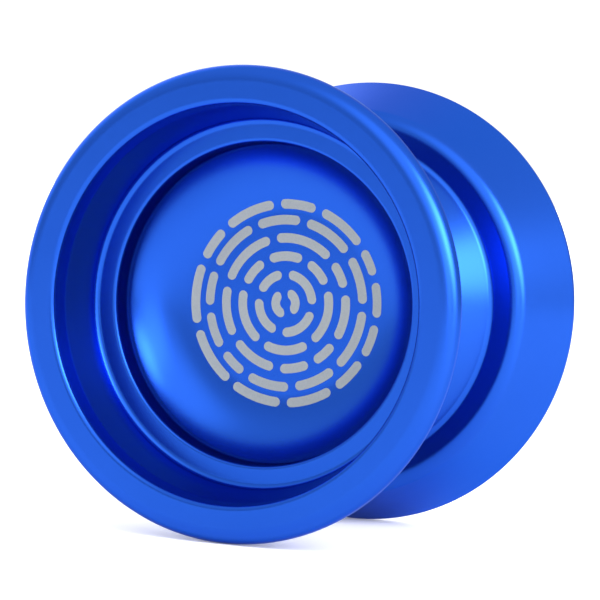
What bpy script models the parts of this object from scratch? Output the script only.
"""Full-size metal yo-yo: two turned aluminium halves screwed together on a threaded axle, with a ball
bearing between them and a ring of silicone in each.

Run it with blender --background --python part.py. Lengths are in metres, and +Z is up. The yo-yo spins
about Y: the near half lies towards -Y, the far half towards +Y, and the origin is the bearing's centre.
Every turned piece is drawn as (radius, height) about its own Z, with the height counted outwards from
the middle of the yo-yo, and is then laid over so that its height runs along the world's Y.
"""

import math

import bmesh
import bpy
from mathutils import Matrix, Vector

MM = 0.001
COLLECTION = "yo_yo"
CUTTERS = "cutters"

# The halves, outside.
RIM_RADIUS = 28.0 * MM
RIM_FACE = 21.45 * MM  # distance of the flat rim face from the middle plane
RIM_ROUND = 2.0 * MM
LIP_ROUND = 0.6 * MM
LIP_RADIUS = 23.38 * MM
LIP_CREASE = (23.3 * MM, 18.5 * MM)
LEDGE_TOP = (22.04 * MM, 14.24 * MM)
LEDGE_HEIGHT = 13.1 * MM
LEDGE_FILLET = 0.7 * MM
LEDGE_ROUND = 0.4 * MM
BOWL_RADIUS = 19.25 * MM
BOWL_LEAN = math.radians(52)  # how steep the bowl's shallow arc gets before it blends into its wall
BOWL_BLEND = 1.8 * MM
HUB_FACE = 5.8 * MM
HUB_RADIUS = 11.0 * MM
SHOULDER_FACE = 10.5 * MM
SHOULDER_ROUND = 2.0 * MM
SHOULDER_START = 22.55 * MM
CATCH_ROUND = 0.9 * MM
CATCH_CORNER = (20.35 * MM, SHOULDER_FACE)
CATCH_BOTTOM = (16.9 * MM, 5.0 * MM)
CATCH_BEND = 3.0 * MM
RESPONSE_EDGE = (15.2 * MM, 2.9 * MM)

# The halves, inside the string gap.
STRING_GAP = 4.2 * MM
PAD_RECESS_INNER = 7.0 * MM
PAD_RECESS_OUTER = 9.65 * MM
PAD_RECESS_DEPTH = 1.2 * MM
SEAT_RADIUS = 6.65 * MM
SEAT_RELIEF = 0.35 * MM
SEAT_LAND_RADIUS = 4.3 * MM
POST_RADIUS = 3.1 * MM
POST_TOP = 0.5 * MM  # distance of the post's end from the middle plane
AXLE_HOLE_RADIUS = 2.1 * MM
AXLE_HOLE_END = 5.1 * MM

# The axle: a headless M4 set screw.
AXLE_RADIUS = 2.0 * MM
AXLE_LENGTH = 10.0 * MM
AXLE_CHAMFER = 0.4 * MM
SOCKET_FLATS = 2.0 * MM
SOCKET_DEPTH = 2.0 * MM

# The bearing: 6.35 mm bore, 12.7 mm outside, 4.76 mm wide.
BEARING_BORE = 3.175 * MM
BEARING_RADIUS = 6.35 * MM
BEARING_WIDTH = 4.76 * MM
BEARING_CHAMFER = 0.25 * MM
SEAT_CLEARANCE = 0.05 * MM
BALL_COUNT = 10
BALL_RADIUS = 0.992 * MM
PITCH_RADIUS = 4.7625 * MM
RACE_CLEARANCE = 0.05 * MM
INNER_SHOULDER = 4.15 * MM
OUTER_SHOULDER = 5.35 * MM
SHIELD_SEAT_RADIUS = 5.95 * MM
SHIELD_SEAT_HEIGHT = 1.85 * MM
SHIELD_INNER = 4.4 * MM
SHIELD_OUTER = 5.87 * MM
SHIELD_HEIGHT = 1.92 * MM
SHIELD_THICKNESS = 0.12 * MM
SHIELD_CHAMFER = 0.03 * MM
SNAP_RADIUS = 5.75 * MM
SNAP_WIRE = 0.1 * MM
SNAP_HEIGHT = 2.2 * MM
SNAP_OPENING = math.radians(26)
CAGE_INNER = 4.32 * MM
CAGE_OUTER = 5.2 * MM
CAGE_CLOSED_END = 1.35 * MM
CAGE_OPEN_END = -0.5 * MM
CAGE_CHAMFER = 0.1 * MM
POCKET_RADIUS = 1.08 * MM

# The response pads.
PAD_GAP = 0.1 * MM
PAD_THICKNESS = 1.0 * MM
PAD_ROUND = 0.15 * MM

HALF_STEPS = 48
RING_STEPS = 30
PAD_STEPS = 32
AXLE_STEPS = 20
BALL_SEGMENTS = 10
BALL_RINGS = 7
SNAP_POINTS = 24
WIRE_RESOLUTION = 1
SOCKET_SIDES = 6
POCKET_SIDES = 16
ARC_STEP = math.radians(25)
MERGE_DISTANCE = 0.01 * MM
SHARP_ANGLE = math.radians(28)

# Turning a piece's own +Z towards the near side (-Y) or the far side (+Y).
TO_NEAR = math.radians(90)
TO_FAR = math.radians(-90)

COLOURS = {
    "anodised_blue": ((0.012, 0.092, 0.72), 1.0, 0.36),
    "steel": ((0.62, 0.62, 0.63), 1.0, 0.22),
    "black_oxide_steel": ((0.055, 0.055, 0.06), 1.0, 0.42),
    "spring_steel": ((0.5, 0.5, 0.52), 1.0, 0.3),
    "silicone": ((0.83, 0.83, 0.8), 0.0, 0.55),
}


def arc(centre, radius, start, end):
    """Points of an arc in the (radius, height) plane, from angle start to angle end in degrees."""
    start, end = math.radians(start), math.radians(end)
    count = max(2, math.ceil(abs(end - start) / ARC_STEP))
    angles = [start + (end - start) * i / count for i in range(count + 1)]
    return [(centre[0] + radius * math.cos(a), centre[1] + radius * math.sin(a)) for a in angles]


def rounded(before, corner, after, radius):
    """Points of the arc of that radius that rounds the corner between two straight lines."""
    corner = Vector(corner)
    into = (Vector(before) - corner).normalized()
    out = (Vector(after) - corner).normalized()
    half = into.angle(out) / 2
    centre = corner + (into + out).normalized() * radius / math.sin(half)
    first = corner + into * radius / math.tan(half) - centre
    last = corner + out * radius / math.tan(half) - centre
    turn = first.angle_signed(last)
    count = max(2, math.ceil(abs(turn) / ARC_STEP))
    start = math.atan2(first.y, first.x)
    angles = [start - turn * i / count for i in range(count + 1)]
    return [(centre.x + radius * math.cos(a), centre.y + radius * math.sin(a)) for a in angles]


def cup_outline():
    """The hollow outer face of a half, from its centre to the edge of its flat rim."""
    reach = BOWL_BLEND * math.tan((math.pi / 2 - BOWL_LEAN) / 2)
    bowl_curve = (BOWL_RADIUS - reach * math.cos(BOWL_LEAN) - HUB_RADIUS) / math.sin(BOWL_LEAN)
    bowl = arc((HUB_RADIUS, HUB_FACE + bowl_curve), bowl_curve, -90, math.degrees(BOWL_LEAN) - 90)
    crease = (BOWL_RADIUS, bowl[-1][1] + reach * math.sin(BOWL_LEAN))
    blend = rounded(bowl[-1], crease, (BOWL_RADIUS, LEDGE_HEIGHT), BOWL_BLEND)
    ledge_round = arc((BOWL_RADIUS + LEDGE_ROUND, LEDGE_HEIGHT - LEDGE_ROUND), LEDGE_ROUND, 180, 90)
    fillet_centre = (LEDGE_TOP[0] - LEDGE_FILLET, LEDGE_HEIGHT + LEDGE_FILLET)
    ledge_fillet = arc(fillet_centre, LEDGE_FILLET, -90, 0)
    lip = arc((LIP_RADIUS + LIP_ROUND, RIM_FACE - LIP_ROUND), LIP_ROUND, 180, 90)
    inside = [(0.0, HUB_FACE), *bowl[:-1], *blend, *ledge_round]
    return [*inside, *ledge_fillet, LEDGE_TOP, LIP_CREASE, *lip]


def flank_outline():
    """The rim's rounded edge, the sloping flank and the shoulder that faces the string gap."""
    corner = (RIM_RADIUS, RIM_FACE - RIM_ROUND)
    edge = arc((RIM_RADIUS - RIM_ROUND, corner[1]), RIM_ROUND, 90, 0)
    shoulder_centre = Vector((SHOULDER_START, SHOULDER_FACE + SHOULDER_ROUND))
    to_corner = Vector(corner) - shoulder_centre
    tangent = math.atan2(to_corner.y, to_corner.x) - math.acos(SHOULDER_ROUND / to_corner.length)
    shoulder = arc(shoulder_centre, SHOULDER_ROUND, math.degrees(tangent), -90)
    return [*edge, *shoulder]


def gap_outline():
    """The side that faces the other half, from the catch zone in to the bottom of the axle's hole."""
    wall = STRING_GAP / 2
    shoulder = (SHOULDER_START, SHOULDER_FACE)
    seat = BEARING_WIDTH / 2 + SEAT_CLEARANCE
    return [
        *rounded(shoulder, CATCH_CORNER, CATCH_BOTTOM, CATCH_ROUND),
        *rounded(CATCH_CORNER, CATCH_BOTTOM, RESPONSE_EDGE, CATCH_BEND),
        RESPONSE_EDGE,
        (PAD_RECESS_OUTER, wall),
        (PAD_RECESS_OUTER, wall + PAD_RECESS_DEPTH),
        (PAD_RECESS_INNER, wall + PAD_RECESS_DEPTH),
        (PAD_RECESS_INNER, wall),
        (SEAT_RADIUS, wall),
        (SEAT_RADIUS, seat + SEAT_RELIEF),
        (SEAT_LAND_RADIUS, seat + SEAT_RELIEF),
        (SEAT_LAND_RADIUS, seat),
        (POST_RADIUS, seat),
        (POST_RADIUS, POST_TOP),
        (AXLE_HOLE_RADIUS, POST_TOP),
        (AXLE_HOLE_RADIUS, AXLE_HOLE_END),
        (0.0, AXLE_HOLE_END),
    ]


def chamfered_box(inner, outer, low, high, chamfer):
    """The closed outline of a plain ring, run down its outer side, with its outer corners cut."""
    return [
        (inner, high),
        (outer - chamfer, high),
        (outer, high - chamfer),
        (outer, low + chamfer),
        (outer - chamfer, low),
        (inner, low),
    ]


def inner_ring_outline():
    """The bearing's inner ring: a bore, two shoulders and the groove that the balls run in."""
    end = BEARING_WIDTH / 2
    groove = BALL_RADIUS + RACE_CLEARANCE
    lean = math.degrees(math.asin((PITCH_RADIUS - INNER_SHOULDER) / groove))
    race = arc((PITCH_RADIUS, 0.0), groove, 90 + lean, 270 - lean)
    bore_edge = BEARING_BORE + BEARING_CHAMFER
    return [
        (bore_edge, end),
        (INNER_SHOULDER, end),
        *race,
        (INNER_SHOULDER, -end),
        (bore_edge, -end),
        (BEARING_BORE, BEARING_CHAMFER - end),
        (BEARING_BORE, end - BEARING_CHAMFER),
    ]


def outer_ring_outline():
    """The bearing's outer ring: its groove, its shoulders and a stepped seat for each shield."""
    end = BEARING_WIDTH / 2
    groove = BALL_RADIUS + RACE_CLEARANCE
    lean = math.degrees(math.asin((OUTER_SHOULDER - PITCH_RADIUS) / groove))
    race = arc((PITCH_RADIUS, 0.0), groove, -90 + lean, 90 - lean)
    return [
        (SHIELD_SEAT_RADIUS, end),
        (BEARING_RADIUS - BEARING_CHAMFER, end),
        (BEARING_RADIUS, end - BEARING_CHAMFER),
        (BEARING_RADIUS, BEARING_CHAMFER - end),
        (BEARING_RADIUS - BEARING_CHAMFER, -end),
        (SHIELD_SEAT_RADIUS, -end),
        (SHIELD_SEAT_RADIUS, -SHIELD_SEAT_HEIGHT),
        (OUTER_SHOULDER, -SHIELD_SEAT_HEIGHT),
        *race,
        (OUTER_SHOULDER, SHIELD_SEAT_HEIGHT),
        (SHIELD_SEAT_RADIUS, SHIELD_SEAT_HEIGHT),
    ]


def axle_outline():
    """The axle, from the middle of one end to the middle of the other, with both ends chamfered."""
    end = AXLE_LENGTH / 2
    return [
        (0.0, end),
        (AXLE_RADIUS - AXLE_CHAMFER, end),
        (AXLE_RADIUS, end - AXLE_CHAMFER),
        (AXLE_RADIUS, AXLE_CHAMFER - end),
        (AXLE_RADIUS - AXLE_CHAMFER, -end),
        (0.0, -end),
    ]


def material(name):
    """The Principled material of that name, made on first use."""
    if name in bpy.data.materials:
        return bpy.data.materials[name]
    colour, metallic, roughness = COLOURS[name]
    made = bpy.data.materials.new(name)
    made.use_nodes = True
    shader = made.node_tree.nodes["Principled BSDF"]
    shader.inputs["Base Color"].default_value = (*colour, 1.0)
    shader.inputs["Metallic"].default_value = metallic
    shader.inputs["Roughness"].default_value = roughness
    return made


def place(name, data, finish=None, tilt=0.0, collection=COLLECTION):
    """A new object with that data in that collection, its own Z laid over by tilt about X."""
    obj = bpy.data.objects.new(name, data)
    bpy.data.collections[collection].objects.link(obj)
    obj.rotation_euler.x = tilt
    if finish and not data.materials:
        data.materials.append(material(finish))
    return obj


def turned_mesh(name, outline, steps, is_loop):
    """The mesh of an outline swept once round Z by a Screw modifier, smooth but for its sharp edges."""
    sketch = bpy.data.meshes.new(name + "_outline")
    last = len(outline) if is_loop else len(outline) - 1
    edges = [(i, (i + 1) % len(outline)) for i in range(last)]
    sketch.from_pydata([(r, 0.0, h) for r, h in outline], edges, [])
    guide = bpy.data.objects.new(name + "_outline", sketch)
    bpy.data.collections[COLLECTION].objects.link(guide)
    screw = guide.modifiers.new("turn", "SCREW")
    screw.steps = screw.render_steps = steps
    screw.use_merge_vertices = True
    screw.merge_threshold = MERGE_DISTANCE
    graph = bpy.context.evaluated_depsgraph_get()
    mesh = bpy.data.meshes.new_from_object(guide.evaluated_get(graph))
    mesh.name = name
    mesh.shade_smooth()
    mesh.set_sharp_from_angle(angle=SHARP_ANGLE)
    bpy.data.objects.remove(guide)
    bpy.data.meshes.remove(sketch)
    return mesh


def turned(name, outline, steps, finish, tilt, is_loop=True):
    """A turned piece of its own."""
    return place(name, turned_mesh(name, outline, steps, is_loop), finish, tilt)


def cut(target, cutter):
    """Cuts a hidden cutter out of a piece."""
    cutter.hide_render = True
    cutter.display_type = "WIRE"
    boolean = target.modifiers.new("cut_" + cutter.name, "BOOLEAN")
    boolean.operation = "DIFFERENCE"
    boolean.solver = "EXACT"
    boolean.object = cutter


def make_halves():
    """Both halves, which are the same turned shape facing opposite ways."""
    outline = [*cup_outline(), *flank_outline(), *gap_outline()]
    mesh = turned_mesh("half", outline, HALF_STEPS, is_loop=False)
    place("near_half", mesh, "anodised_blue", TO_NEAR)
    place("far_half", mesh, "anodised_blue", TO_FAR)


def make_pads():
    """The silicone ring in each half's recess, a little below the response wall."""
    floor = STRING_GAP / 2 + PAD_RECESS_DEPTH - PAD_GAP
    top = floor - PAD_THICKNESS
    inner, outer = PAD_RECESS_INNER + PAD_GAP, PAD_RECESS_OUTER - PAD_GAP
    outline = [
        (inner, floor),
        (outer, floor),
        *arc((outer - PAD_ROUND, top + PAD_ROUND), PAD_ROUND, 0, -90),
        *arc((inner + PAD_ROUND, top + PAD_ROUND), PAD_ROUND, -90, -180),
    ]
    mesh = turned_mesh("response_pad", outline, PAD_STEPS, is_loop=True)
    place("near_response_pad", mesh, "silicone", TO_NEAR)
    place("far_response_pad", mesh, "silicone", TO_FAR)


def make_axle():
    """The headless screw that both halves thread onto, with a hexagon socket in its far end."""
    axle = turned("axle", axle_outline(), AXLE_STEPS, "black_oxide_steel", TO_FAR, is_loop=False)
    socket = bmesh.new()
    corner_radius = SOCKET_FLATS / 2 / math.cos(math.pi / SOCKET_SIDES)
    bmesh.ops.create_cone(
        socket,
        cap_ends=True,
        segments=SOCKET_SIDES,
        radius1=corner_radius,
        radius2=corner_radius,
        depth=2 * SOCKET_DEPTH,
        matrix=Matrix.Translation((0.0, 0.0, AXLE_LENGTH / 2)),
    )
    mesh = bpy.data.meshes.new("axle_socket")
    socket.to_mesh(mesh)
    socket.free()
    cut(axle, place("axle_socket", mesh, None, TO_FAR, CUTTERS))


def make_bearing_rings():
    """The inner ring, which the halves clamp, and the outer ring, which the string loops round."""
    turned("bearing_inner_ring", inner_ring_outline(), RING_STEPS, "steel", TO_FAR)
    turned("bearing_outer_ring", outer_ring_outline(), RING_STEPS, "steel", TO_FAR)


def make_shields():
    """A thin shield over each side of the balls, and the split wire ring that holds it in."""
    shield_top = SHIELD_HEIGHT + SHIELD_THICKNESS
    outline = chamfered_box(SHIELD_INNER, SHIELD_OUTER, SHIELD_HEIGHT, shield_top, SHIELD_CHAMFER)
    shield = turned_mesh("shield", outline, RING_STEPS, is_loop=True)
    for side, tilt in (("near", TO_NEAR), ("far", TO_FAR)):
        place(side + "_shield", shield, "steel", tilt)
        place(side + "_snap_ring", snap_ring_curve(side + "_snap_ring"), "spring_steel", tilt)


def snap_ring_curve(name):
    """A round wire bent nearly all the way round, with an opening to squeeze it by."""
    curve = bpy.data.curves.new(name, "CURVE")
    curve.dimensions = "3D"
    curve.bevel_depth = SNAP_WIRE
    curve.bevel_resolution = WIRE_RESOLUTION
    curve.use_fill_caps = True
    spline = curve.splines.new("POLY")
    spline.points.add(SNAP_POINTS - 1)
    sweep = 2 * math.pi - SNAP_OPENING
    for i, point in enumerate(spline.points):
        angle = SNAP_OPENING / 2 + sweep * i / (SNAP_POINTS - 1)
        point.co = (SNAP_RADIUS * math.cos(angle), SNAP_RADIUS * math.sin(angle), SNAP_HEIGHT, 1.0)
    return curve


def ball_angle(index):
    """Where a ball sits round the bearing, in the rings' own plane."""
    return 2 * math.pi * index / BALL_COUNT


def make_cage():
    """The crown cage: a ring on one side of the balls, with a pocket for each of them."""
    outline = chamfered_box(CAGE_INNER, CAGE_OUTER, CAGE_OPEN_END, CAGE_CLOSED_END, CAGE_CHAMFER)
    cage = turned("bearing_cage", outline, RING_STEPS, "steel", TO_FAR)
    pockets = bmesh.new()
    for index in range(BALL_COUNT):
        turn = Matrix.Rotation(ball_angle(index), 4, "Z")
        aim = Matrix.Translation((PITCH_RADIUS, 0.0, 0.0)) @ Matrix.Rotation(math.pi / 2, 4, "Y")
        bmesh.ops.create_cone(
            pockets,
            cap_ends=True,
            segments=POCKET_SIDES,
            radius1=POCKET_RADIUS,
            radius2=POCKET_RADIUS,
            depth=2 * BALL_RADIUS,
            matrix=turn @ aim,
        )
    mesh = bpy.data.meshes.new("cage_pockets")
    pockets.to_mesh(mesh)
    pockets.free()
    cut(cage, place("cage_pockets", mesh, None, TO_FAR, CUTTERS))


def make_balls():
    """The balls, each its own piece with its origin at its centre."""
    ball = bmesh.new()
    bmesh.ops.create_uvsphere(ball, u_segments=BALL_SEGMENTS, v_segments=BALL_RINGS, radius=BALL_RADIUS)
    mesh = bpy.data.meshes.new("bearing_ball")
    ball.to_mesh(mesh)
    ball.free()
    mesh.shade_smooth()
    lay_over = Matrix.Rotation(TO_FAR, 4, "X")
    for index in range(BALL_COUNT):
        obj = place(f"bearing_ball_{index + 1:02d}", mesh, "steel", TO_FAR)
        turn = Matrix.Rotation(ball_angle(index), 4, "Z")
        obj.location = lay_over @ turn @ Vector((PITCH_RADIUS, 0.0, 0.0))


def main():
    """Clears the scene and makes the whole yo-yo."""
    for obj in list(bpy.data.objects):
        bpy.data.objects.remove(obj)
    for name in (COLLECTION, CUTTERS):
        bpy.context.scene.collection.children.link(bpy.data.collections.new(name))
    make_halves()
    make_pads()
    make_axle()
    make_bearing_rings()
    make_shields()
    make_cage()
    make_balls()


main()
